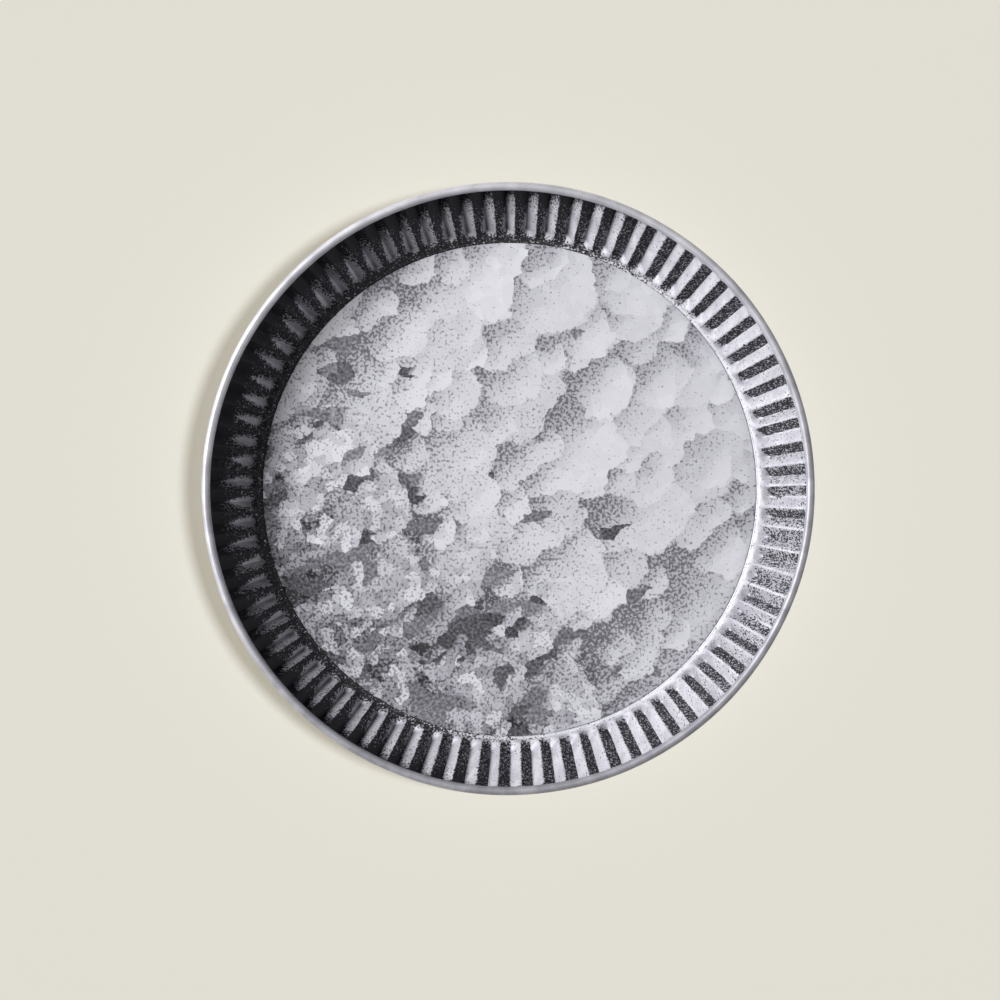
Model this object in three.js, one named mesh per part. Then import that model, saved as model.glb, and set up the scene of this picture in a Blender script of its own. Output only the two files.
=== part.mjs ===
// A round serving tray in galvanised sheet steel: a flat base let into the foot of a
// flared wall, upright flutes all round the wall, and a rolled rim over a stiffening wire.
// Millimetres, +Z up. The origin is the centre of the plane that the tray stands on.

import * as THREE from 'three';

// Overall sizes
const RIM_DIAMETER = 300; // over the rolled rim
const TRAY_HEIGHT = 30; // from the table to the top of the rim

// Sheet and wire
const WALL_SHEET = 0.6;
const BASE_SHEET = 0.6;
const BAND_SHEET = 0.5;
const WIRE_DIAMETER = 2.6;
const FIT_GAP = 0.3; // between pieces that slip into each other

// Foot of the wall
const SEAT_DIAMETER = 247; // the opening in the foot that the base disc drops into
const FLANGE_WIDTH = 6; // how far the foot reaches in under the disc
const FOOT_BEND_RADIUS = 1.5; // at the middle of the sheet, between foot and wall

// Flutes: grooves with a sharp bottom, pressed outwards, that leave ribs with rounded backs
const FLUTE_PITCH = 10.45; // from rib to rib, half way up the wall
const FLUTE_DEPTH = 4.5; // from the backs of the ribs to the bottoms of the grooves
const RIB_ROUNDNESS = 1.15; // 1 gives flat sides that meet in a ridge, 2 a fully rounded back
const FLUTE_LOWER_FADE = 4.5; // length over which the grooves sink in above the foot bend
const FLUTE_UPPER_FADE = 2.2; // length over which they end below the plain hem

// Facets that stand for the round forms
const ROUND_STEPS = 96; // round the disc, the band and the wire
const STEPS_PER_FLUTE = 6;
const BEND_STEPS = 4;
const BAND_STEPS = 10; // round the section of the band
const WIRE_STEPS = 8; // round the section of the wire

// Where the pieces meet, in the section plane: x is the radius and y the height.
const wireRadius = WIRE_DIAMETER / 2;
const bandInnerRadius = wireRadius + FIT_GAP;
const bandOuterRadius = bandInnerRadius + BAND_SHEET;
const beadCentre = new THREE.Vector2(RIM_DIAMETER / 2 - bandOuterRadius, TRAY_HEIGHT - bandOuterRadius);
const seatRadius = SEAT_DIAMETER / 2;
const discRadius = seatRadius - FIT_GAP;
const landTop = WALL_SHEET + BASE_SHEET; // flush with the top of the disc

// The straight wall runs from a tangent on the foot bend to the centre of the bead.
const bendCentre = new THREE.Vector2(seatRadius + WALL_SHEET, landTop - WALL_SHEET / 2 + FOOT_BEND_RADIUS);
const reach = beadCentre.clone().sub(bendCentre);
const wallSlope = reach.angle() + Math.asin(FOOT_BEND_RADIUS / reach.length());
const wallLength = Math.sqrt(reach.lengthSq() - FOOT_BEND_RADIUS ** 2);
const alongWall = new THREE.Vector2(Math.cos(wallSlope), Math.sin(wallSlope));
const intoTray = new THREE.Vector2(-Math.sin(wallSlope), Math.cos(wallSlope));
const wallStart = bendCentre.clone().addScaledVector(intoTray, -FOOT_BEND_RADIUS);
const hemEnd = wallLength - bandInnerRadius;
const fluteEnd = wallLength - bandOuterRadius - FIT_GAP;

const midWallRadius = wallStart.x + (alongWall.x * wallLength) / 2;
const fluteCount = Math.round((2 * Math.PI * midWallRadius) / FLUTE_PITCH);
const fluteSteps = fluteCount * STEPS_PER_FLUTE;
const fluteEndSteps = fluteCount * 2; // a point on each rib and one in each groove

// Galvanised steel in two shades, and the bare wire
const spangledZinc = { color: 0xb9b9be, roughness: 0.5, metalness: 0.9 };
const patinatedZinc = { color: 0x8d8d92, roughness: 0.5, metalness: 0.9 };
const rimZinc = { color: 0xc4c4c8, roughness: 0.4, metalness: 0.9 };
const drawnSteel = { color: 0x77777a, roughness: 0.45, metalness: 1.0 };

function piece(name, geometry, finish) {
  const mesh = new THREE.Mesh(geometry, new THREE.MeshStandardMaterial(finish));
  mesh.name = name;
  return mesh;
}

// A closed section, listed counterclockwise, turned about the Z axis
function turnedRing(section, steps) {
  const geometry = new THREE.LatheGeometry([...section, section[0]], steps);
  return geometry.rotateX(Math.PI / 2);
}

// Depth of the grooves, as a share of their full depth, at a share of a turn. The back of a
// rib lies on the X axis.
function grooveDepth(turn) {
  const fromRib = turn * fluteCount - Math.round(turn * fluteCount);
  return Math.abs(2 * fromRib) ** RIB_ROUNDNESS;
}

// A ring of points round the Z axis. Each point lies outside the section point, along the
// wall's normal, by the groove's share of the depth.
function ring(point, steps = fluteCount, depth = 0) {
  const points = [];
  for (let k = 0; k < steps; k += 1) {
    const turn = k / steps;
    const offset = -depth * grooveDepth(turn);
    const radius = point.x + intoTray.x * offset;
    const height = point.y + intoTray.y * offset;
    const angle = 2 * Math.PI * turn;
    points.push(new THREE.Vector3(radius * Math.cos(angle), radius * Math.sin(angle), height));
  }
  return points;
}

// A closed skin through a loop of rings. Neighbouring rings may have different numbers of
// points: each step goes forward on the ring whose next point comes first.
function skinThroughRings(rings) {
  const positions = rings.flat().flatMap((point) => point.toArray());
  const starts = rings.map((_, k) => rings.slice(0, k).reduce((sum, one) => sum + one.length, 0));
  const triangles = [];
  rings.forEach((near, k) => {
    const next = (k + 1) % rings.length;
    const far = rings[next];
    const nearPoint = (i) => starts[k] + (i % near.length);
    const farPoint = (j) => starts[next] + (j % far.length);
    let i = 0;
    let j = 0;
    while (i < near.length || j < far.length) {
      if ((i + 1) / near.length <= (j + 1) / far.length) {
        triangles.push(nearPoint(i), nearPoint(i + 1), farPoint(j));
        i += 1;
      } else {
        triangles.push(nearPoint(i), farPoint(j + 1), farPoint(j));
        j += 1;
      }
    }
  });
  const geometry = new THREE.BufferGeometry();
  geometry.setAttribute('position', new THREE.Float32BufferAttribute(positions, 3));
  geometry.setIndex(triangles);
  geometry.computeVertexNormals();
  return geometry;
}

// Points of the foot bend on one face of the sheet, from the foot up to just below the wall
function footBend(radius) {
  const points = [];
  for (let k = 0; k < BEND_STEPS; k += 1) {
    const angle = -Math.PI / 2 + (wallSlope * k) / BEND_STEPS;
    points.push(new THREE.Vector2(Math.cos(angle), Math.sin(angle)).multiplyScalar(radius).add(bendCentre));
  }
  return points;
}

// Rings of the straight wall on one face of the sheet, from the foot bend up to the hem's edge
function wallRings(faceOffset) {
  const facePoint = (along) =>
    wallStart.clone().addScaledVector(alongWall, along).addScaledVector(intoTray, faceOffset);
  return [
    ring(facePoint(0), fluteEndSteps),
    ring(facePoint(FLUTE_LOWER_FADE), fluteSteps, FLUTE_DEPTH),
    ring(facePoint(fluteEnd - FLUTE_UPPER_FADE), fluteSteps, FLUTE_DEPTH),
    ring(facePoint(fluteEnd), fluteEndSteps),
    ring(facePoint(hemEnd)),
  ];
}

function flutedWall() {
  const half = WALL_SHEET / 2;
  const flangeEdge = seatRadius - FLANGE_WIDTH;
  const joggleOutside = seatRadius + WALL_SHEET;
  const innerFoot = [
    new THREE.Vector2(flangeEdge, WALL_SHEET),
    new THREE.Vector2(seatRadius, WALL_SHEET),
    new THREE.Vector2(seatRadius, landTop),
    ...footBend(FOOT_BEND_RADIUS - half),
  ];
  const outerFoot = [
    new THREE.Vector2(flangeEdge, 0),
    new THREE.Vector2(joggleOutside, 0),
    ...footBend(FOOT_BEND_RADIUS + half),
  ];
  const innerFace = [...innerFoot.map((point) => ring(point)), ...wallRings(half)];
  const outerFace = [...outerFoot.map((point) => ring(point)), ...wallRings(-half)];
  return skinThroughRings([...outerFace, ...innerFace.reverse()]);
}

// The band is a tube with a slit that faces down the wall and takes its hem.
function rimBand() {
  const slitHalfWidth = WALL_SHEET / 2 + FIT_GAP;
  const slitMiddle = wallSlope + Math.PI;
  const arc = (radius) => {
    const lip = Math.asin(slitHalfWidth / radius);
    const points = [];
    for (let k = 0; k <= BAND_STEPS; k += 1) {
      const angle = slitMiddle + lip + ((2 * Math.PI - 2 * lip) * k) / BAND_STEPS;
      points.push(new THREE.Vector2(Math.cos(angle), Math.sin(angle)).multiplyScalar(radius).add(beadCentre));
    }
    return points;
  };
  return turnedRing([...arc(bandOuterRadius), ...arc(bandInnerRadius).reverse()], ROUND_STEPS);
}

function rimWire() {
  const geometry = new THREE.TorusGeometry(beadCentre.x, wireRadius, WIRE_STEPS, ROUND_STEPS);
  return geometry.translate(0, 0, beadCentre.y);
}

function baseDisc() {
  const geometry = new THREE.CylinderGeometry(discRadius, discRadius, BASE_SHEET, ROUND_STEPS);
  return geometry.rotateX(Math.PI / 2).translate(0, 0, WALL_SHEET + BASE_SHEET / 2);
}

const tray = new THREE.Group();
tray.add(piece('base_disc', baseDisc(), spangledZinc));
tray.add(piece('fluted_wall', flutedWall(), patinatedZinc));
tray.add(piece('rim_band', rimBand(), rimZinc));
tray.add(piece('rim_wire', rimWire(), drawnSteel));

export default tray;
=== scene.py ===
# %% [markdown]
# A round serving tray in galvanised sheet steel
#
# The tray is four pieces of metal: a flat disc, a flared wall with upright flutes, a rolled band
# round the rim, and a wire inside that band. The construction is already there, at its real size,
# as plain facetted solids. This lesson dresses it: each visible piece is made again as a fine mesh
# in the same place, and gets the look of hot-dip zinc.

import math

import bpy
import numpy as np
from mathutils import Matrix, Vector


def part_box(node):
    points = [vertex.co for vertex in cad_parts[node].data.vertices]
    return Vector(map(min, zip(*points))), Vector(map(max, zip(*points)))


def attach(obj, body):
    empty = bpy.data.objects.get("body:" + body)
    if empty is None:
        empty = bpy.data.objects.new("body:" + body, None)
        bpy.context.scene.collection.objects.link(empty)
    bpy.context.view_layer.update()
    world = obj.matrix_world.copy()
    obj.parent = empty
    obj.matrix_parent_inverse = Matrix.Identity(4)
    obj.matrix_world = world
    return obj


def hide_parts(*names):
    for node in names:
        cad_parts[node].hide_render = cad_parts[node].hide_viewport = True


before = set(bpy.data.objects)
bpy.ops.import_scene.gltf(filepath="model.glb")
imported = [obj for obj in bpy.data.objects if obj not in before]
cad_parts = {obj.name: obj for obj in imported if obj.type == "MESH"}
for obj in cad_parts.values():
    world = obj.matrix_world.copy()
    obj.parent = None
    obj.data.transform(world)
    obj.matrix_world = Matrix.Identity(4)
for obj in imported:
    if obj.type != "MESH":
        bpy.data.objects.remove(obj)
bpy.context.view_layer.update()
bpy.context.scene.view_settings.view_transform = "Standard"
print("pieces in the frame:", sorted(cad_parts))

# %% [markdown]
# Sizes
#
# Blender works in metres, and sheet metal is thought of in millimetres, so one value turns one into
# the other. What the frame can tell is measured from it: the thickness of the sheets, the size of
# the disc, and the place of the rim. Only the sizes of bends and flutes are written down here, and
# they are those of the construction.

# %% Sizes of the pieces
MM = 0.001

disc_low, disc_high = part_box("base_disc")
band_low, band_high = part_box("rim_band")

disc_radius = disc_high.x
wall_sheet = disc_low.z
land_height = disc_high.z
bead_radius = (band_high.z - band_low.z) / 2
bead_centre = Vector((band_high.x - bead_radius, band_high.z - bead_radius))

FIT_GAP = 0.3 * MM
BAND_SHEET = 0.5 * MM
FLANGE_WIDTH = 6 * MM
FOOT_BEND_RADIUS = 1.5 * MM
FLUTE_COUNT = 82
FLUTE_DEPTH = 4.5 * MM
RIB_ROUNDNESS = 1.15
FLUTE_LOWER_FADE = 4.5 * MM
FLUTE_UPPER_FADE = 2.2 * MM

print(f"disc {2 * disc_radius / MM:.1f} mm across, rim {2 * band_high.x / MM:.1f} mm across")
print(f"wall sheet {wall_sheet / MM:.2f} mm, bead {2 * bead_radius / MM:.2f} mm thick")

# %% [markdown]
# The camera
#
# The photograph looks straight down on the tray from about 1.2 m. A camera that looks straight down
# needs only three things: a height, a lens that makes the rim the right number of pixels wide, and
# a small shift that puts it where it lies in the picture. The real camera stood a little to the
# lower right, so the upper left wall shows a little wider, and the tray was turned by half a degree.

# %% Camera
PHOTO_SIDE = 1000
RIM_CENTRE_PX = (507.05, 487.55)
RIM_RADIUS_PX = 307
CAMERA_PLACE = Vector((0.036, -0.030, 1.2))
CAMERA_ROLL = math.radians(-0.48)

camera_data = bpy.data.cameras.new("camera_above")
camera = bpy.data.objects.new("camera_above", camera_data)
bpy.context.scene.collection.objects.link(camera)
bpy.context.scene.camera = camera

rim_middle = Vector((0, 0, bead_centre.y))
gaze = rim_middle - CAMERA_PLACE
frame_width = PHOTO_SIDE * band_high.x / RIM_RADIUS_PX
camera_data.sensor_width = 36
camera_data.lens = camera_data.sensor_width * gaze.length / frame_width
camera_data.shift_x = (PHOTO_SIDE / 2 - RIM_CENTRE_PX[0]) / PHOTO_SIDE
camera_data.shift_y = (RIM_CENTRE_PX[1] - PHOTO_SIDE / 2) / PHOTO_SIDE
back = -gaze.normalized()
right = Vector((0, 1, 0)).cross(back).normalized()
upright = Matrix((right, back.cross(right), back)).transposed().to_4x4()
camera.matrix_world = Matrix.Translation(CAMERA_PLACE) @ upright @ Matrix.Rotation(CAMERA_ROLL, 4, "Z")
print(f"lens {camera_data.lens:.1f} mm, frame {frame_width / MM:.0f} mm wide at the rim")

# %% [markdown]
# From rings to a mesh
#
# Every piece of this tray is round, so each is a stack of rings about the vertical axis, with a skin
# of four-sided faces between neighbours. Blender can spin a profile with its Screw modifier, but a
# fluted ring isn't a spun profile. Plain arrays of points do both, so one function skins them all.

# %% A skin through rings
SHARP_EDGE = math.radians(80)


def skin_through_rings(name, rings, closed_section):
    """A mesh through rings of points, given as an array of rings, points in a ring, and x, y, z.
    A closed section joins the last ring to the first, and an open one is capped at both ends."""
    ring_count, steps, _ = rings.shape
    index = np.arange(ring_count * steps).reshape(ring_count, steps)
    near = index if closed_section else index[:-1]
    far = np.roll(index, -1, axis=0) if closed_section else index[1:]
    quads = np.stack([near, np.roll(near, -1, axis=1), np.roll(far, -1, axis=1), far], axis=-1)
    points = rings.reshape(-1, 3).tolist()
    faces = quads.reshape(-1, 4).tolist()
    if not closed_section:
        for ring, ends in ((index[0], 0), (index[-1], -1)):
            points.append(rings[ends].mean(axis=0).tolist())
            centre = len(points) - 1
            pairs = zip(ring.tolist(), np.roll(ring, -1).tolist())
            faces += [(centre, b, a) if ends == 0 else (centre, a, b) for a, b in pairs]
    mesh = bpy.data.meshes.new(name)
    mesh.from_pydata(points, [], faces)
    mesh.validate()
    mesh.polygons.foreach_set("use_smooth", np.ones(len(mesh.polygons), dtype=bool))
    mesh.set_sharp_from_angle(angle=SHARP_EDGE)
    piece = bpy.data.objects.new(name, mesh)
    bpy.context.scene.collection.objects.link(piece)
    print(f"{name}: {len(mesh.vertices)} points, {len(mesh.polygons)} faces")
    return piece


def turns(steps):
    """Equal shares of one turn."""
    return np.arange(steps) / steps


def smooth(share):
    """A soft ramp from 0 to 1."""
    share = np.clip(share, 0, 1)
    return share * share * (3 - 2 * share)


# %% [markdown]
# The disc
#
# The base is a flat disc of sheet, let into the foot of the wall, so its edge shows as a fine line.
# Thin sheet is never truly flat: it bows by a few tenths of a millimetre in slow waves, which is what
# makes light wander over it. A flat cylinder would miss both, so the disc has a rounded upper edge and
# a grid of rings that carries the waves. They die out at the edge, where the disc is held.

# %% Base disc
DISC_STEPS = 192
DISC_RINGS = 28
DISC_HUB_RADIUS = 0.5 * MM
DISC_EDGE_ROUNDING = 0.2 * MM
DISC_EDGE_STEPS = 4
DISC_BOW = 0.22 * MM

disc_turn = 2 * np.pi * turns(DISC_STEPS)


def disc_ring(radius, height, bowed):
    """A ring of the disc. Bowed is 1 where the sheet carries the waves, and 0 where it is held."""
    x = radius * np.cos(disc_turn)
    y = radius * np.sin(disc_turn)
    held = 1 - (radius / disc_radius) ** 4
    waves = np.sin(34 * x + 19 * y) + 0.7 * np.sin(-23 * x + 41 * y + 1.3)
    return np.stack([x, y, height + bowed * DISC_BOW * held * waves / 1.7], axis=-1)


flat_radii = np.linspace(DISC_HUB_RADIUS, disc_radius - DISC_EDGE_ROUNDING, DISC_RINGS)
edge_angles = np.linspace(0, np.pi / 2, DISC_EDGE_STEPS)
edge_radii = disc_radius - DISC_EDGE_ROUNDING * (1 - np.sin(edge_angles))
edge_drop = DISC_EDGE_ROUNDING * (1 - np.cos(edge_angles))
lower_rings = [disc_ring(radius, disc_low.z, 1) for radius in flat_radii]
lower_rings.append(disc_ring(disc_radius, disc_low.z, 0))
edge_rings = [disc_ring(r, disc_high.z - d, 0) for r, d in zip(edge_radii[::-1], edge_drop[::-1])]
upper_rings = [disc_ring(radius, disc_high.z, 1) for radius in flat_radii[-2::-1]]
base_disc = skin_through_rings(
    "spangled_base_disc", np.array(lower_rings + edge_rings + upper_rings), closed_section=False
)

# %% [markdown]
# The fluted wall
#
# The wall is one ring of sheet. Its foot steps up round the disc, bends, and flares out to the rim.
# Grooves pressed outwards leave ribs with rounded backs between them. The section is worked out as in
# the construction, and then every ring of points is pushed outwards by the depth of the groove there.
# The flutes were pressed one by one, so depth and spacing wander a little: a few sine waves do that
# without any random numbers.

# %% Section of the wall
BEND_STEPS = 8
LOWER_FADE_RINGS = 9
MID_WALL_RINGS = 8
UPPER_FADE_RINGS = 7
HEM_RINGS = 3

seat_radius = disc_radius + FIT_GAP
bend_centre = Vector((seat_radius + wall_sheet, land_height - wall_sheet / 2 + FOOT_BEND_RADIUS))
reach = bead_centre - bend_centre
wall_slope = math.atan2(reach.y, reach.x) + math.asin(FOOT_BEND_RADIUS / reach.length)
wall_length = math.sqrt(reach.length_squared - FOOT_BEND_RADIUS**2)
along_wall = Vector((math.cos(wall_slope), math.sin(wall_slope)))
into_tray = Vector((-math.sin(wall_slope), math.cos(wall_slope)))
wall_start = bend_centre - into_tray * FOOT_BEND_RADIUS
hem_end = wall_length - bead_radius + BAND_SHEET
flute_end = wall_length - bead_radius - FIT_GAP
print(f"wall slopes at {math.degrees(wall_slope):.1f} degrees over {wall_length / MM:.1f} mm")


def flute_depth_share(along):
    """How deep the flutes are at a distance up the wall, from 0 to 1."""
    return smooth(along / FLUTE_LOWER_FADE) * smooth((flute_end - along) / FLUTE_UPPER_FADE)


def wall_face(offset):
    """Section points on one face of the wall, from the bend to the hem, with their groove shares."""
    distances = np.concatenate([
        np.linspace(0, FLUTE_LOWER_FADE, LOWER_FADE_RINGS)[:-1],
        np.linspace(FLUTE_LOWER_FADE, flute_end - FLUTE_UPPER_FADE, MID_WALL_RINGS)[:-1],
        np.linspace(flute_end - FLUTE_UPPER_FADE, flute_end, UPPER_FADE_RINGS)[:-1],
        np.linspace(flute_end, hem_end, HEM_RINGS),
    ])
    points = [wall_start + along_wall * float(d) + into_tray * offset for d in distances]
    return [(p.x, p.y, float(flute_depth_share(d))) for p, d in zip(points, distances)]


def foot_bend(radius):
    """Section points of the bend on one face, from the foot up to just below the wall."""
    angles = -math.pi / 2 + wall_slope * np.arange(BEND_STEPS) / BEND_STEPS
    bend = [(radius * math.cos(a), radius * math.sin(a)) for a in angles]
    return [(bend_centre.x + x, bend_centre.y + y, 0) for x, y in bend]


# %% Fluted wall
STEPS_PER_FLUTE = 16
LAND_ROUNDING = 0.15 * MM
DEPTH_WANDER = 0.09
SPACING_WANDER = 0.035

half_sheet = wall_sheet / 2
flange_edge = seat_radius - FLANGE_WIDTH
inner_face = [
    (flange_edge, wall_sheet, 0),
    (seat_radius, wall_sheet, 0),
    (seat_radius, land_height - LAND_ROUNDING, 0),
    (seat_radius + 0.3 * LAND_ROUNDING, land_height - 0.3 * LAND_ROUNDING, 0),
    *foot_bend(FOOT_BEND_RADIUS - half_sheet),
    *wall_face(half_sheet),
]
outer_face = [
    (flange_edge, 0, 0),
    (seat_radius + wall_sheet, 0, 0),
    *foot_bend(FOOT_BEND_RADIUS + half_sheet),
    *wall_face(-half_sheet),
]

wall_turn = turns(FLUTE_COUNT * STEPS_PER_FLUTE)
from_rib = wall_turn * FLUTE_COUNT - np.round(wall_turn * FLUTE_COUNT)
groove = np.abs(2 * from_rib) ** RIB_ROUNDNESS
uneven = np.sin(2 * np.pi * 29 * wall_turn) + np.sin(2 * np.pi * 47 * wall_turn + 1.9)
pressed = groove * (1 + DEPTH_WANDER * uneven / 2)
stray = np.sin(2 * np.pi * 37 * wall_turn + 0.7) + np.sin(2 * np.pi * 53 * wall_turn + 2.4)
wall_angle = 2 * np.pi * (wall_turn + SPACING_WANDER * stray / 2 / FLUTE_COUNT)


def wall_ring(point):
    """A ring of the wall through a section point, pushed outwards where the grooves are."""
    radius, height, share = point
    push = FLUTE_DEPTH * share * pressed
    out = radius - into_tray.x * push
    down = height - into_tray.y * push
    return np.stack([out * np.cos(wall_angle), out * np.sin(wall_angle), down], axis=-1)


wall_section = outer_face + inner_face[::-1]
wall_rings = np.array([wall_ring(point) for point in wall_section])
fluted_wall = skin_through_rings("fluted_zinc_wall", wall_rings, closed_section=True)

# Two values on each point tell the finish on which face it lies, and how deep in a groove.
on_inner_face = np.array([0] * len(outer_face) + [1] * len(inner_face))
groove_share = on_inner_face * np.array([share for _, _, share in wall_section])
for name, values in (
    ("inner_face", np.outer(on_inner_face, np.ones(len(groove)))),
    ("inner_groove", np.outer(groove_share, groove)),
):
    attribute = fluted_wall.data.attributes.new(name, "FLOAT", "POINT")
    attribute.data.foreach_set("value", values.astype(np.float32).ravel())

# %% [markdown]
# The rim band
#
# A strip of sheet is rolled into a tube over a wire, and its slit grips the plain hem of the wall. From
# above it is the round bead. A torus would look alike from above, but not from below, where the slit
# shows, so the section is the open tube itself. Handling leaves slight flats in a rolled rim: the bead
# leans inwards by up to a quarter of a millimetre in slow waves.

# %% Rim band
BAND_STEPS = 4 * FLUTE_COUNT
BAND_SECTION_STEPS = 28
RIM_FLATS = 0.25 * MM

slit_half_width = half_sheet + FIT_GAP
band_angle = 2 * np.pi * turns(BAND_STEPS)
flats = np.sin(5 * band_angle) + np.sin(13 * band_angle + 2) + np.sin(8 * band_angle)
lean = RIM_FLATS * (1 + flats / 3) / 2


def band_arc(radius):
    """Rings of one face of the band, from one lip of the slit round to the other."""
    lip = math.asin(slit_half_width / radius)
    angles = np.linspace(wall_slope + math.pi + lip, wall_slope + 3 * math.pi - lip, BAND_SECTION_STEPS)
    rings = []
    for angle in angles:
        out = bead_centre.x + radius * math.cos(angle) - lean
        height = np.full(BAND_STEPS, bead_centre.y + radius * math.sin(angle))
        rings.append(np.stack([out * np.cos(band_angle), out * np.sin(band_angle), height], axis=-1))
    return rings


band_rings = np.array(band_arc(bead_radius) + band_arc(bead_radius - BAND_SHEET)[::-1])
rim_band = skin_through_rings("rolled_rim_band", band_rings, closed_section=True)

# %% [markdown]
# Colours and nodes
#
# Colours are written as the hex values that a paint program shows, which are sRGB. Blender's shaders
# reckon in linear light, so one function turns one into the other. A second small function adds a node,
# sets it up and links it, which keeps the materials below readable.

# %% Two helpers for materials
def linear(hex_colour):
    """A colour such as #C8C8D0 as linear red, green, blue and alpha."""
    channels = [int(hex_colour[k:k + 2], 16) / 255 for k in (1, 3, 5)]
    return [c / 12.92 if c <= 0.04045 else ((c + 0.055) / 1.055) ** 2.4 for c in channels] + [1]


def node(tree, kind, inputs, **settings):
    """A new node with its settings. Each input is a value, or a socket or a node that it is linked to."""
    made = tree.nodes.new(kind)
    for name, value in settings.items():
        setattr(made, name, value)
    for socket, value in inputs.items():
        if isinstance(value, bpy.types.Node):
            value = value.outputs[0]
        if isinstance(value, bpy.types.NodeSocket):
            tree.links.new(value, made.inputs[socket])
        else:
            made.inputs[socket].default_value = value
    return made


def new_material(name):
    """An empty node material and its tree."""
    material = bpy.data.materials.new(name)
    material.use_nodes = True
    material.node_tree.nodes.clear()
    return material, material.node_tree


print("mid zinc grey in linear light:", [round(c, 3) for c in linear("#C8C8D0")[:3]])

# %% [markdown]
# Spangled zinc: where the crystals lie
#
# The sheet was dipped in molten zinc, which froze into a spangle of flat crystals. The pattern could be
# painted by hand, but a Voronoi texture gives cells of a chosen size anywhere on the sheet. Its cells
# have straight sides, so noise pushes the places about before they are read: wide swings bend the rows
# of plates, small ones make their edges ragged. Then each place is drawn towards the middle of its own
# little crystal, about 5 mm across, so what is laid over it later ends along the sides of crystals.

# %% Spangled zinc: places
spangled_zinc, zinc = new_material("spangled_hot_dip_zinc")

SWING_MM = 17
SWING_REACH_MM = 8
RAG_MM = 2.2
RAG_REACH_MM = 1.6
CRYSTAL_MM = 4.6
CRYSTAL_PULL = 0.42

zinc_place = node(zinc, "ShaderNodeTexCoord", {})
zinc_mm = node(
    zinc, "ShaderNodeVectorMath", {0: zinc_place.outputs["Object"], "Scale": 1 / MM}, operation="SCALE"
)
swing = node(zinc, "ShaderNodeTexNoise", {"Vector": zinc_mm, "Scale": 1 / SWING_MM}, noise_dimensions="2D")
rags = node(zinc, "ShaderNodeTexNoise", {"Vector": zinc_mm, "Scale": 1 / RAG_MM}, noise_dimensions="2D")
swung = node(
    zinc, "ShaderNodeVectorMath",
    {0: swing.outputs["Color"], 1: (SWING_REACH_MM, SWING_REACH_MM, 0), 2: zinc_mm},
    operation="MULTIPLY_ADD",
)
ragged = node(
    zinc, "ShaderNodeVectorMath",
    {0: rags.outputs["Color"], 1: (RAG_REACH_MM, RAG_REACH_MM, 0), 2: swung},
    operation="MULTIPLY_ADD",
)
crystals = node(
    zinc, "ShaderNodeTexVoronoi", {"Vector": ragged, "Scale": 1 / CRYSTAL_MM}, voronoi_dimensions="2D"
)
to_crystal = node(
    zinc, "ShaderNodeVectorMath", {0: crystals.outputs["Position"], 1: ragged}, operation="SUBTRACT"
)
stepped = node(
    zinc, "ShaderNodeVectorMath",
    {0: to_crystal, 1: (CRYSTAL_PULL, CRYSTAL_PULL, 0), 2: ragged},
    operation="MULTIPLY_ADD",
)
print("crystals of", CRYSTAL_MM, "mm, swung by up to", SWING_REACH_MM, "mm")

# %% [markdown]
# Spangled zinc: plates
#
# Groups of crystals froze together as plates, 20 to 46 mm across, and each overlaps its neighbours like a
# scale. Each is drawn dull and grainy at its upper left and smooth and pale at its lower right: a painted
# sheen of its tilted crystals under the lamp. So a plate is a disc about a Voronoi seed, cut off crisply,
# with a painted sheen that rises along one direction.
# Three layers of plates of different sizes lie on each other, and the palest wins.

# %% Spangled zinc: plates
PAINTED_SHEEN_DIRECTION = Vector((0.74, -0.67, 0))
PLATES = ((46, 0.56, (0, 0, 0)), (31, 0.50, (41, 17, 0)), (20, 0.46, (90, 63, 0)))

plates = None
for size_mm, reach_share, moved_mm in PLATES:
    place = node(zinc, "ShaderNodeVectorMath", {0: stepped, 1: moved_mm}, operation="ADD")
    cells = node(
        zinc, "ShaderNodeTexVoronoi", {"Vector": place, "Scale": 1 / size_mm}, voronoi_dimensions="2D"
    )
    from_seed = node(
        zinc, "ShaderNodeVectorMath", {0: place, 1: cells.outputs["Position"]}, operation="SUBTRACT"
    )
    # Painted sheen: each plate turns paler along one direction, as tilted crystals do under the lamp.
    along_painted_sheen = node(
        zinc, "ShaderNodeVectorMath", {0: from_seed, 1: PAINTED_SHEEN_DIRECTION / size_mm}, operation="DOT_PRODUCT"
    )
    rise = node(
        zinc, "ShaderNodeMapRange",
        {"Value": along_painted_sheen.outputs["Value"], "From Min": -0.42, "From Max": 0.28},
        interpolation_type="SMOOTHSTEP",
    )
    inside = node(
        zinc, "ShaderNodeMapRange",
        {"Value": cells.outputs["Distance"], "From Min": reach_share + 0.02, "From Max": reach_share - 0.02},
    )
    own_tone = node(zinc, "ShaderNodeSeparateColor", {0: cells.outputs["Color"]})
    height = node(zinc, "ShaderNodeMapRange", {"Value": own_tone, "To Min": 0.6, "To Max": 1.0})
    cut_off = node(zinc, "ShaderNodeMath", {0: rise, 1: inside}, operation="MULTIPLY")
    plate = node(zinc, "ShaderNodeMath", {0: cut_off, 1: height}, operation="MULTIPLY")
    if plates:
        plate = node(zinc, "ShaderNodeMath", {0: plates, 1: plate}, operation="MAXIMUM")
    plates = plate
print("plates of", [size_mm for size_mm, _, _ in PLATES], "mm")

# %% [markdown]
# Spangled zinc: dark grains and speckle
#
# Where the plates leave a gap, the zinc froze last and stayed dark: leaf-shaped grains, most of them at
# the lower left of this tray. They are cells of their own, stretched along one direction. Chance picks
# which of them are dark, with better odds towards the lower left, and they show only where no plate is
# pale, so the plates hollow out their sides. Over all of it lies a speckle of pits. Real pits are a
# few tenths of a millimetre wide, finer than a pixel here, so they are drawn 1.5 mm wide.

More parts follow.
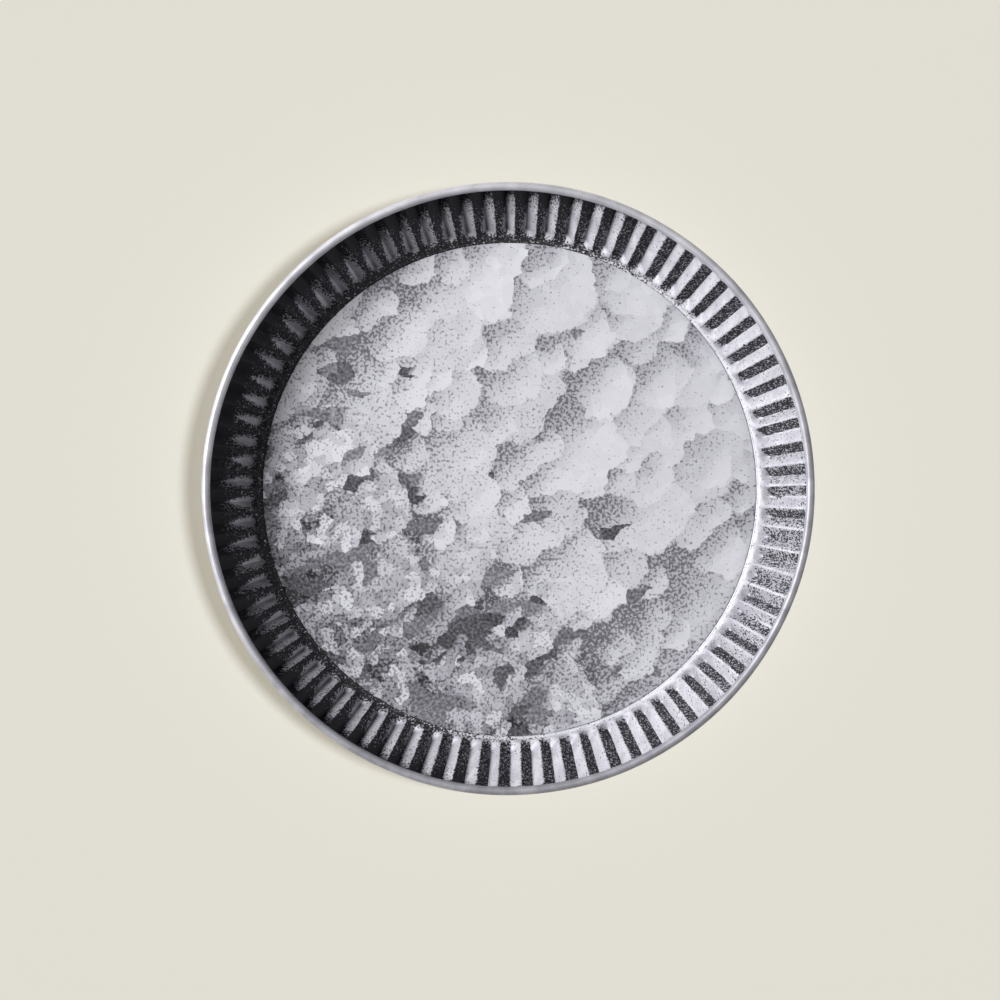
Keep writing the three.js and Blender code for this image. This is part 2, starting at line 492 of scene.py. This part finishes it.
# %% Spangled zinc: dark grains
GRAIN_MM = 11
DARK_SIDE = Vector((-0.68, -0.73, 0))

# Towards the lower left the disc has more dark grains and pits, and darker crystals. The darker crystals are
# partly darker zinc and partly painted shade near the left wall.
dark_side = node(
    zinc, "ShaderNodeVectorMath", {0: zinc_mm, 1: DARK_SIDE * MM / disc_radius}, operation="DOT_PRODUCT"
)
leaf_place = node(
    zinc, "ShaderNodeMapping",
    {"Vector": ragged, "Rotation": (0, 0, math.radians(-35)), "Scale": (0.58, 1.45, 1)},
)
leaves = node(
    zinc, "ShaderNodeTexVoronoi", {"Vector": leaf_place, "Scale": 1 / GRAIN_MM}, voronoi_dimensions="2D"
)
leaf_chance = node(zinc, "ShaderNodeSeparateColor", {0: leaves.outputs["Color"]})
leaf_odds = node(
    zinc, "ShaderNodeMapRange",
    {"Value": dark_side.outputs["Value"], "From Min": -0.2, "From Max": 0.7, "To Min": 0.02, "To Max": 0.65},
)
chosen = node(zinc, "ShaderNodeMath", {0: leaf_chance, 1: leaf_odds}, operation="LESS_THAN")
uncovered = node(zinc, "ShaderNodeMapRange", {"Value": plates, "From Min": 0.64, "From Max": 0.58})
dark_grains = node(zinc, "ShaderNodeMath", {0: chosen, 1: uncovered}, operation="MULTIPLY")
print("dark grains of", GRAIN_MM, "mm")

# %% Spangled zinc: speckle
PIT_MM = 1.5

pits = node(
    zinc, "ShaderNodeTexNoise", {"Vector": zinc_mm, "Scale": 1 / PIT_MM}, noise_dimensions="2D"
)
pit_limit = node(zinc, "ShaderNodeMapRange", {"Value": plates, "To Min": 0.44, "To Max": 0.70})
pit_reach = node(
    zinc, "ShaderNodeMath",
    {0: dark_side.outputs["Value"], 1: 0.10, 2: pits.outputs[0]},
    operation="MULTIPLY_ADD",
)
pit_depth = node(zinc, "ShaderNodeMath", {0: pit_reach, 1: pit_limit}, operation="SUBTRACT")
pitted = node(zinc, "ShaderNodeMapRange", {"Value": pit_depth, "From Min": -0.04, "From Max": 0.08})
print("speckle of", PIT_MM, "mm pits")

# %% [markdown]
# Spangled zinc: shade and finish
#
# The layers add up to one number, the lightness of the zinc, and a colour ramp turns it into greys with
# a breath of violet, as fresh zinc has. Air soon gives zinc a thin dull skin, so it scatters light
# almost as a mineral does: it is part metal, part matt. A dull start is rougher than the smooth
# edge of a plate, and pits are hollows, which the bump shows.

# %% Spangled zinc: lightness
PIT_DARKENING = 0.27

plate_light = node(zinc, "ShaderNodeMapRange", {"Value": plates, "To Min": 0.69, "To Max": 0.91})
crystal_chance = node(zinc, "ShaderNodeSeparateColor", {0: crystals.outputs["Color"]})
# Crystals turn darker towards the lower left: partly darker zinc, partly painted shade.
crystal_share = node(
    zinc, "ShaderNodeMapRange",
    {"Value": dark_side.outputs["Value"], "From Min": 0.1, "From Max": 0.9, "To Min": -0.03, "To Max": -0.42},
)
with_crystals = node(
    zinc, "ShaderNodeMath", {0: crystal_chance, 1: crystal_share, 2: plate_light}, operation="MULTIPLY_ADD"
)
with_pits = node(
    zinc, "ShaderNodeMath", {0: pitted, 1: -PIT_DARKENING, 2: with_crystals}, operation="MULTIPLY_ADD"
)
grain_light = node(
    zinc, "ShaderNodeMapRange",
    {"Value": pits.outputs[0], "From Min": 0.3, "From Max": 0.7, "To Min": 0.40, "To Max": 0.16},
)
grain_tone = node(
    zinc, "ShaderNodeMath",
    {0: leaf_chance.outputs["Green"], 1: 0.24, 2: grain_light},
    operation="MULTIPLY_ADD",
)
zinc_light = node(
    zinc, "ShaderNodeMix", {0: dark_grains, 2: with_pits, 3: grain_tone}, data_type="FLOAT"
)
print("lightness of plates, crystals, pits and grains joined")

# %% Spangled zinc: shader
ZINC_GREYS = (
    (0.0, "#000001"), (0.15, "#252428"), (0.3, "#4B4A4F"), (0.45, "#727178"), (0.6, "#98979F"),
    (0.75, "#BFBEC6"), (0.9, "#E5E5EB"), (1.0, "#FDFDFF"),
)


def shade_by_greys(ramp):
    """Greys of zinc from black to white on a new colour ramp."""
    ramp.elements[1].color = linear(ZINC_GREYS[-1][1])
    for position, hex_colour in ZINC_GREYS[:-1]:
        ramp.elements.new(position).color = linear(hex_colour)


zinc_greys = node(zinc, "ShaderNodeValToRGB", {0: zinc_light})
shade_by_greys(zinc_greys.color_ramp)
zinc_rough = node(zinc, "ShaderNodeMapRange", {"Value": zinc_light, "To Min": 0.75, "To Max": 0.5})
zinc_bump = node(zinc, "ShaderNodeBump", {"Strength": 0.3, "Distance": 0.1 * MM, "Height": zinc_light})
zinc_shader = node(
    zinc, "ShaderNodeBsdfPrincipled",
    {"Base Color": zinc_greys, "Metallic": 0.25, "Roughness": zinc_rough, "Normal": zinc_bump},
)
node(zinc, "ShaderNodeOutputMaterial", {"Surface": zinc_shader})
print("spangled zinc has", len(zinc.nodes), "nodes")

# %% [markdown]
# Fluted zinc: which way the surface faces
#
# Pressing the flutes broke the spangle up, so the wall is plain pale zinc. A crust of black oxide covers
# much of it, and one side of each flute far more than the other: it is laid as painted shade on the sides
# that face away from the key lamp at the left. Painting
# 164 sides would be slow. The direction that the surface faces, in the tray's own space, tells them apart.
# The foot lies flat. It gets a painted highlight at the right, where the crust thins, and painted shade at
# the left, where the crust covers it. Further to the right the flanks carry more crust, as painted shade.

# %% Fluted zinc: directions
# Pale zinc with an oxide crust, which is laid out as painted shade.
fluted_zinc, wall_tree = new_material("fluted_zinc_oxide_and_painted_shade")

AWAY_FROM_KEY = Vector((0.96, -0.29, 0))

wall_place = node(wall_tree, "ShaderNodeTexCoord", {})
wall_mm = node(
    wall_tree, "ShaderNodeVectorMath", {0: wall_place.outputs["Object"], "Scale": 1 / MM}, operation="SCALE"
)
# Painted shade: the crust goes on surfaces that face away from the key lamp.
faces_away_from_key = node(
    wall_tree, "ShaderNodeVectorMath",
    {0: wall_place.outputs["Normal"], 1: AWAY_FROM_KEY},
    operation="DOT_PRODUCT",
)
lamp_far_side = node(
    wall_tree, "ShaderNodeVectorMath", {0: wall_mm, 1: AWAY_FROM_KEY * MM / band_high.x}, operation="DOT_PRODUCT"
)
facing = node(wall_tree, "ShaderNodeSeparateXYZ", {0: wall_place.outputs["Normal"]})
# Painted light and shade by place: the flat foot gets less crust to the right, a painted highlight, and more
# to the left, painted shade; the flanks get more crust to the right, as painted shade.
lies_flat = node(
    wall_tree, "ShaderNodeMath", {0: facing.outputs["Z"], 1: facing.outputs["Z"]}, operation="MULTIPLY"
)
low_share = node(wall_tree, "ShaderNodeMath", {0: lies_flat, 1: -2.0, 2: 1.0}, operation="MULTIPLY_ADD")
painted_shade_side = node(
    wall_tree, "ShaderNodeMath",
    {0: lamp_far_side.outputs["Value"], 1: low_share, 2: faces_away_from_key.outputs["Value"]},
    operation="MULTIPLY_ADD",
)
print("sheltered direction", tuple(round(v, 2) for v in AWAY_FROM_KEY))

# %% [markdown]
# Fluted zinc: crust
#
# The crust is a fine noise with a limit: where the noise is above the limit, a grain of oxide sits. Real
# grains are finer than a pixel, so they are drawn a millimetre wide. Slow clouds make the edge of the crust
# uneven. The left half of the tray lies in shade, and there the crust is laid thicker, most of all up under
# the rim, as painted shadow, while the bottoms of the grooves near the foot are kept clean as painted
# highlights. The outside was wiped more often, so its limit is higher.

# %% Fluted zinc: crust
GRIT_MM = 1.0
CLOUD_MM = 8
GROOVE_BOTTOM_SHARPNESS = 2.2

grit = node(wall_tree, "ShaderNodeTexNoise", {"Vector": wall_mm, "Scale": 1 / GRIT_MM, "Roughness": 0.65})
clouds = node(wall_tree, "ShaderNodeTexNoise", {"Vector": wall_mm, "Scale": 1 / CLOUD_MM, "Detail": 4.0})
patchy = node(
    wall_tree, "ShaderNodeMath", {0: clouds.outputs[0], 1: 0.9, 2: painted_shade_side}, operation="MULTIPLY_ADD"
)
crust_and_shade_start = node(
    wall_tree, "ShaderNodeMapRange",
    {"Value": patchy, "From Min": -0.05, "From Max": 0.60, "To Min": 0.66, "To Max": 0.42},
)
# The left half of the inside lies in shade. There the bottoms of the grooves near the foot are kept clean as
# painted highlights, and the crust thickens towards the rim as painted shadow.
shaded = node(
    wall_tree, "ShaderNodeMapRange", {"Value": lamp_far_side.outputs["Value"], "From Min": 0.3, "From Max": -0.5}
)
heights = node(wall_tree, "ShaderNodeSeparateXYZ", {0: wall_mm})
low_down = node(
    wall_tree, "ShaderNodeMapRange",
    {"Value": heights.outputs["Z"], "From Min": 3.0, "From Max": 18.0, "To Min": 0.75, "To Max": -0.35},
)
in_groove = node(wall_tree, "ShaderNodeAttribute", {}, attribute_name="inner_groove")
deep = node(
    wall_tree, "ShaderNodeMath",
    {0: in_groove.outputs["Fac"], 1: GROOVE_BOTTOM_SHARPNESS},
    operation="POWER",
)
painted_shadow_under_rim = node(
    wall_tree, "ShaderNodeMapRange",
    {"Value": heights.outputs["Z"], "From Min": 18.0, "From Max": 26.0, "To Min": -0.07, "To Max": -0.40},
)
groove_highlights_and_rim_shadow = node(
    wall_tree, "ShaderNodeMath", {0: low_down, 1: deep, 2: painted_shadow_under_rim}, operation="MULTIPLY_ADD"
)
face_side = node(wall_tree, "ShaderNodeAttribute", {}, attribute_name="inner_face")
shaded_inside = node(
    wall_tree, "ShaderNodeMath", {0: shaded, 1: face_side.outputs["Fac"]}, operation="MULTIPLY"
)
# The crust limit with the painted highlights and shadow of the left half added.
rubbed = node(
    wall_tree, "ShaderNodeMath", {0: groove_highlights_and_rim_shadow, 1: shaded_inside, 2: crust_and_shade_start}, operation="MULTIPLY_ADD"
)
wiped = node(
    wall_tree, "ShaderNodeMapRange", {"Value": face_side.outputs["Fac"], "To Min": 0.15, "To Max": 0.0}
)
crust_and_shade_limit = node(wall_tree, "ShaderNodeMath", {0: rubbed, 1: wiped}, operation="ADD")
crust_and_shade_depth = node(
    wall_tree, "ShaderNodeMath", {0: grit.outputs[0], 1: crust_and_shade_limit}, operation="SUBTRACT"
)
# The crust mask: oxide grains, placed as painted shade.
crust_and_painted_shade = node(wall_tree, "ShaderNodeMapRange", {"Value": crust_and_shade_depth, "From Min": -0.05, "From Max": 0.07})
print("grains of crust", GRIT_MM, "mm, clouds", CLOUD_MM, "mm")

# %% [markdown]
# Fluted zinc: shade and finish
#
# Between the grains the zinc is clean and pale. It is drawn brightest on the flat foot, as a painted
# highlight, and a little darker in the lower ends of the flutes, as painted shade. The crust is rougher than
# the zinc, and its grains stand up from it, which the bump shows.

# %% Fluted zinc: shader
# The tone of the crust, which also serves as painted shade.
CRUST_AND_SHADE_LIGHT = 0.18

clean_light = node(
    wall_tree, "ShaderNodeMapRange",
    {"Value": clouds.outputs[0], "From Min": 0.3, "From Max": 0.7, "To Min": 0.73, "To Max": 0.85},
)
# Painted light: the flat foot is drawn lighter as a painted highlight, and the lower ends of the flutes
# darker as painted shade.
off_the_foot = node(
    wall_tree, "ShaderNodeMapRange",
    {"Value": heights.outputs["Z"], "From Min": 1.3, "From Max": 2.4, "To Min": 0.06, "To Max": -0.06},
)
up_the_wall = node(
    wall_tree, "ShaderNodeMapRange",
    {"Value": heights.outputs["Z"], "From Min": 3.5, "From Max": 7.5, "To Min": 0.0, "To Max": 0.06},
)
foot_highlight_and_flute_end_shade = node(wall_tree, "ShaderNodeMath", {0: off_the_foot, 1: up_the_wall}, operation="ADD")
clean_light_with_painted_light = node(wall_tree, "ShaderNodeMath", {0: clean_light, 1: foot_highlight_and_flute_end_shade}, operation="ADD")
wall_light = node(
    wall_tree, "ShaderNodeMix", {0: crust_and_painted_shade, 2: clean_light_with_painted_light, 3: CRUST_AND_SHADE_LIGHT}, data_type="FLOAT"
)
wall_greys = node(wall_tree, "ShaderNodeValToRGB", {0: wall_light})
shade_by_greys(wall_greys.color_ramp)
wall_rough = node(wall_tree, "ShaderNodeMapRange", {"Value": wall_light, "To Min": 0.75, "To Max": 0.62})
wall_bump = node(
    wall_tree, "ShaderNodeBump", {"Strength": 0.3, "Distance": 0.12 * MM, "Height": crust_and_painted_shade}
)
wall_shader = node(
    wall_tree, "ShaderNodeBsdfPrincipled",
    {"Base Color": wall_greys, "Metallic": 0.35, "Roughness": wall_rough, "Normal": wall_bump},
)
node(wall_tree, "ShaderNodeOutputMaterial", {"Surface": wall_shader})
print("fluted zinc has", len(wall_tree.nodes), "nodes")

# %% [markdown]
# Rubbed zinc and drawn wire
#
# Hands and cloths keep the rim bright, so its zinc is smoother than the rest, with a little cloudiness
# and slow changes of grey. It is drawn lighter towards the upper left and duller towards the lower right,
# as painted light and shade from the lamp at the left. The wire inside is plain drawn steel: the die left
# fine lines along it, so its noise is read from the radius and the height alone, and doesn't change along the
# wire.

# %% Rubbed zinc
rubbed_zinc, rim_tree = new_material("rubbed_rim_zinc")

RIM_CLOUD_MM = 9
RIM_SHADE_SIDE = Vector((0.45, -0.89, 0))

rim_place = node(rim_tree, "ShaderNodeTexCoord", {})
rim_mm = node(
    rim_tree, "ShaderNodeVectorMath", {0: rim_place.outputs["Object"], "Scale": 1 / MM}, operation="SCALE"
)
rim_clouds = node(
    rim_tree, "ShaderNodeTexNoise", {"Vector": rim_mm, "Scale": 1 / RIM_CLOUD_MM, "Detail": 6.0}
)
# Painted light and shade: the rim is drawn lighter towards the upper left, where the lamp is, and duller
# towards the lower right.
rim_shade_side = node(
    rim_tree, "ShaderNodeVectorMath", {0: rim_mm, 1: RIM_SHADE_SIDE * MM / band_high.x}, operation="DOT_PRODUCT"
)
rim_tone_and_painted_light = node(
    rim_tree, "ShaderNodeMapRange",
    {"Value": rim_shade_side.outputs["Value"], "From Min": -0.9, "From Max": 0.6, "To Min": 0.64, "To Max": 0.43},
)
rim_light = node(
    rim_tree, "ShaderNodeMath", {0: rim_clouds.outputs[0], 1: 0.4, 2: rim_tone_and_painted_light}, operation="MULTIPLY_ADD"
)
rim_greys = node(rim_tree, "ShaderNodeValToRGB", {0: rim_light})
shade_by_greys(rim_greys.color_ramp)
rim_rough = node(rim_tree, "ShaderNodeMapRange", {"Value": rim_light, "To Min": 0.6, "To Max": 0.4})
rim_bump = node(rim_tree, "ShaderNodeBump", {"Strength": 0.2, "Distance": 0.1 * MM, "Height": rim_light})
rim_shader = node(
    rim_tree, "ShaderNodeBsdfPrincipled",
    {"Base Color": rim_greys, "Metallic": 0.25, "Roughness": rim_rough, "Normal": rim_bump},
)
node(rim_tree, "ShaderNodeOutputMaterial", {"Surface": rim_shader})
print("rubbed zinc has", len(rim_tree.nodes), "nodes")

# %% Drawn steel wire
drawn_steel, wire_tree = new_material("drawn_steel_wire")

DRAW_LINE_MM = 0.3

wire_place = node(wire_tree, "ShaderNodeTexCoord", {})
wire_flat = node(
    wire_tree, "ShaderNodeVectorMath", {0: wire_place.outputs["Object"], 1: (1, 1, 0)}, operation="MULTIPLY"
)
wire_radius = node(wire_tree, "ShaderNodeVectorMath", {0: wire_flat}, operation="LENGTH")
wire_axes = node(wire_tree, "ShaderNodeSeparateXYZ", {0: wire_place.outputs["Object"]})
wire_section = node(
    wire_tree, "ShaderNodeCombineXYZ", {"X": wire_radius.outputs["Value"], "Y": wire_axes.outputs["Z"]}
)
wire_lines = node(
    wire_tree, "ShaderNodeTexNoise", {"Vector": wire_section, "Scale": 1 / (DRAW_LINE_MM * MM), "Detail": 3.0}
)
wire_greys = node(wire_tree, "ShaderNodeValToRGB", {0: wire_lines.outputs[0]})
wire_greys.color_ramp.elements[0].color = linear("#55555A")
wire_greys.color_ramp.elements[1].color = linear("#98989C")
wire_rough = node(
    wire_tree, "ShaderNodeMapRange", {"Value": wire_lines.outputs[0], "To Min": 0.3, "To Max": 0.5}
)
wire_bump = node(
    wire_tree, "ShaderNodeBump", {"Strength": 0.2, "Distance": 0.02 * MM, "Height": wire_lines.outputs[0]}
)
wire_shader = node(
    wire_tree, "ShaderNodeBsdfPrincipled",
    {"Base Color": wire_greys, "Metallic": 1.0, "Roughness": wire_rough, "Normal": wire_bump},
)
node(wire_tree, "ShaderNodeOutputMaterial", {"Surface": wire_shader})
print("drawn steel has", len(wire_tree.nodes), "nodes")

# %% [markdown]
# Dressing the pieces
#
# Each new piece rides on the one body of the tray, says which solid it stands for, and takes the finish
# made above, listed beside the name of that solid's slot in the record, which is not read here. The wire is
# hidden in the band, so its solid stays as it is and only gets the steel.

# %% Materials on pieces
for piece, stands_for, slot, material in (
    (base_disc, "base_disc", "spangled_zinc", spangled_zinc),
    (fluted_wall, "fluted_wall", "patinated_zinc", fluted_zinc),
    (rim_band, "rim_band", "rim_zinc", rubbed_zinc),
):
    piece.data.materials.append(material)
    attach(piece, "root")
    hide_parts(stands_for)
    print(piece.name, "stands for", stands_for)

rim_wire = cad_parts["rim_wire"]
rim_wire.data.materials.clear()
rim_wire.data.materials.append(drawn_steel)

# %% [markdown]
# Floor and light
#
# The tray lies on a plain pale ground. One large soft lamp at the left lights the tray, low enough that the
# left wall falls into shade while the right wall shines. A weak lamp opposite keeps the shade from going
# dead. In the picture the ground is lit on its own, evenly and with a short soft shadow to the left, so it
# has its own two lamps, and Blender's light linking keeps each lamp to what it is there for.

# %% Floor
FLOOR_HALF = 12

floor_mesh = bpy.data.meshes.new("floor")
floor_corners = [(x * FLOOR_HALF, y * FLOOR_HALF, 0) for x, y in ((-1, -1), (1, -1), (1, 1), (-1, 1))]
floor_mesh.from_pydata(floor_corners, [], [(0, 1, 2, 3)])
floor = bpy.data.objects.new("floor", floor_mesh)
bpy.context.scene.collection.objects.link(floor)

pale_ground, ground_tree = new_material("pale_ground")
ground_shader = node(
    ground_tree, "ShaderNodeBsdfPrincipled",
    {"Base Color": linear("#E3E0D5"), "Roughness": 0.9, "Specular IOR Level": 0.0},
)
node(ground_tree, "ShaderNodeOutputMaterial", {"Surface": ground_shader})
floor_mesh.materials.append(pale_ground)

lit_tray = bpy.data.collections.new("lit_by_tray_lamps")
for piece in (base_disc, fluted_wall, rim_band, rim_wire):
    lit_tray.objects.link(piece)
lit_floor = bpy.data.collections.new("lit_by_floor_lamps")
lit_floor.objects.link(floor)

# %% Lamps
LAMP_DISTANCE = 3
WORLD_LIGHT = 0.01
FULL_SUN = math.pi


def lamp(name, kind, towards, strength, receivers, colour=(1, 1, 1), **settings):
    """A lamp in a direction from the tray, which lights only the receivers."""
    data = bpy.data.lights.new(name, kind)
    data.color = colour
    for setting, value in settings.items():
        setattr(data, setting, value)
    thing = bpy.data.objects.new(name, data)
    bpy.context.scene.collection.objects.link(thing)
    thing.rotation_euler = towards.to_track_quat("Z", "Y").to_euler()
    thing.location = towards * LAMP_DISTANCE
    data.energy = strength
    thing.light_linking.receiver_collection = receivers
    return thing


def direction(azimuth, elevation):
    """Unit direction from angles in degrees. Azimuth 0 is the right of the picture, 90 its top."""
    round_axis = math.radians(azimuth)
    upwards = math.radians(elevation)
    level = math.cos(upwards)
    return Vector((math.cos(round_axis) * level, math.sin(round_axis) * level, math.sin(upwards)))


key = lamp("key_lamp", "SUN", direction(163, 41), 1.42 * FULL_SUN, lit_tray, angle=math.radians(28))
fill = lamp("fill_lamp", "SUN", direction(-17, 28), 0.18 * FULL_SUN, lit_tray, angle=math.radians(40))
ground_top = lamp(
    "ground_lamp_above", "SUN", direction(0, 89), 0.508 * FULL_SUN, lit_floor, colour=(1.035, 1.0, 0.90),
    angle=math.radians(6),
)
ground_side = lamp(
    "ground_lamp_right", "SUN", direction(-4, 64.2), 0.51 * FULL_SUN, lit_floor, colour=(0.96, 1.0, 1.11),
    angle=math.radians(12),
)

world = bpy.data.worlds.new("dim_room")
bpy.context.scene.world = world
world.use_nodes = True
world.node_tree.nodes["Background"].inputs["Color"].default_value = (1, 1, 1, 1)
world.node_tree.nodes["Background"].inputs["Strength"].default_value = WORLD_LIGHT
print("lamps:", [o.name for o in (key, fill, ground_top, ground_side)])
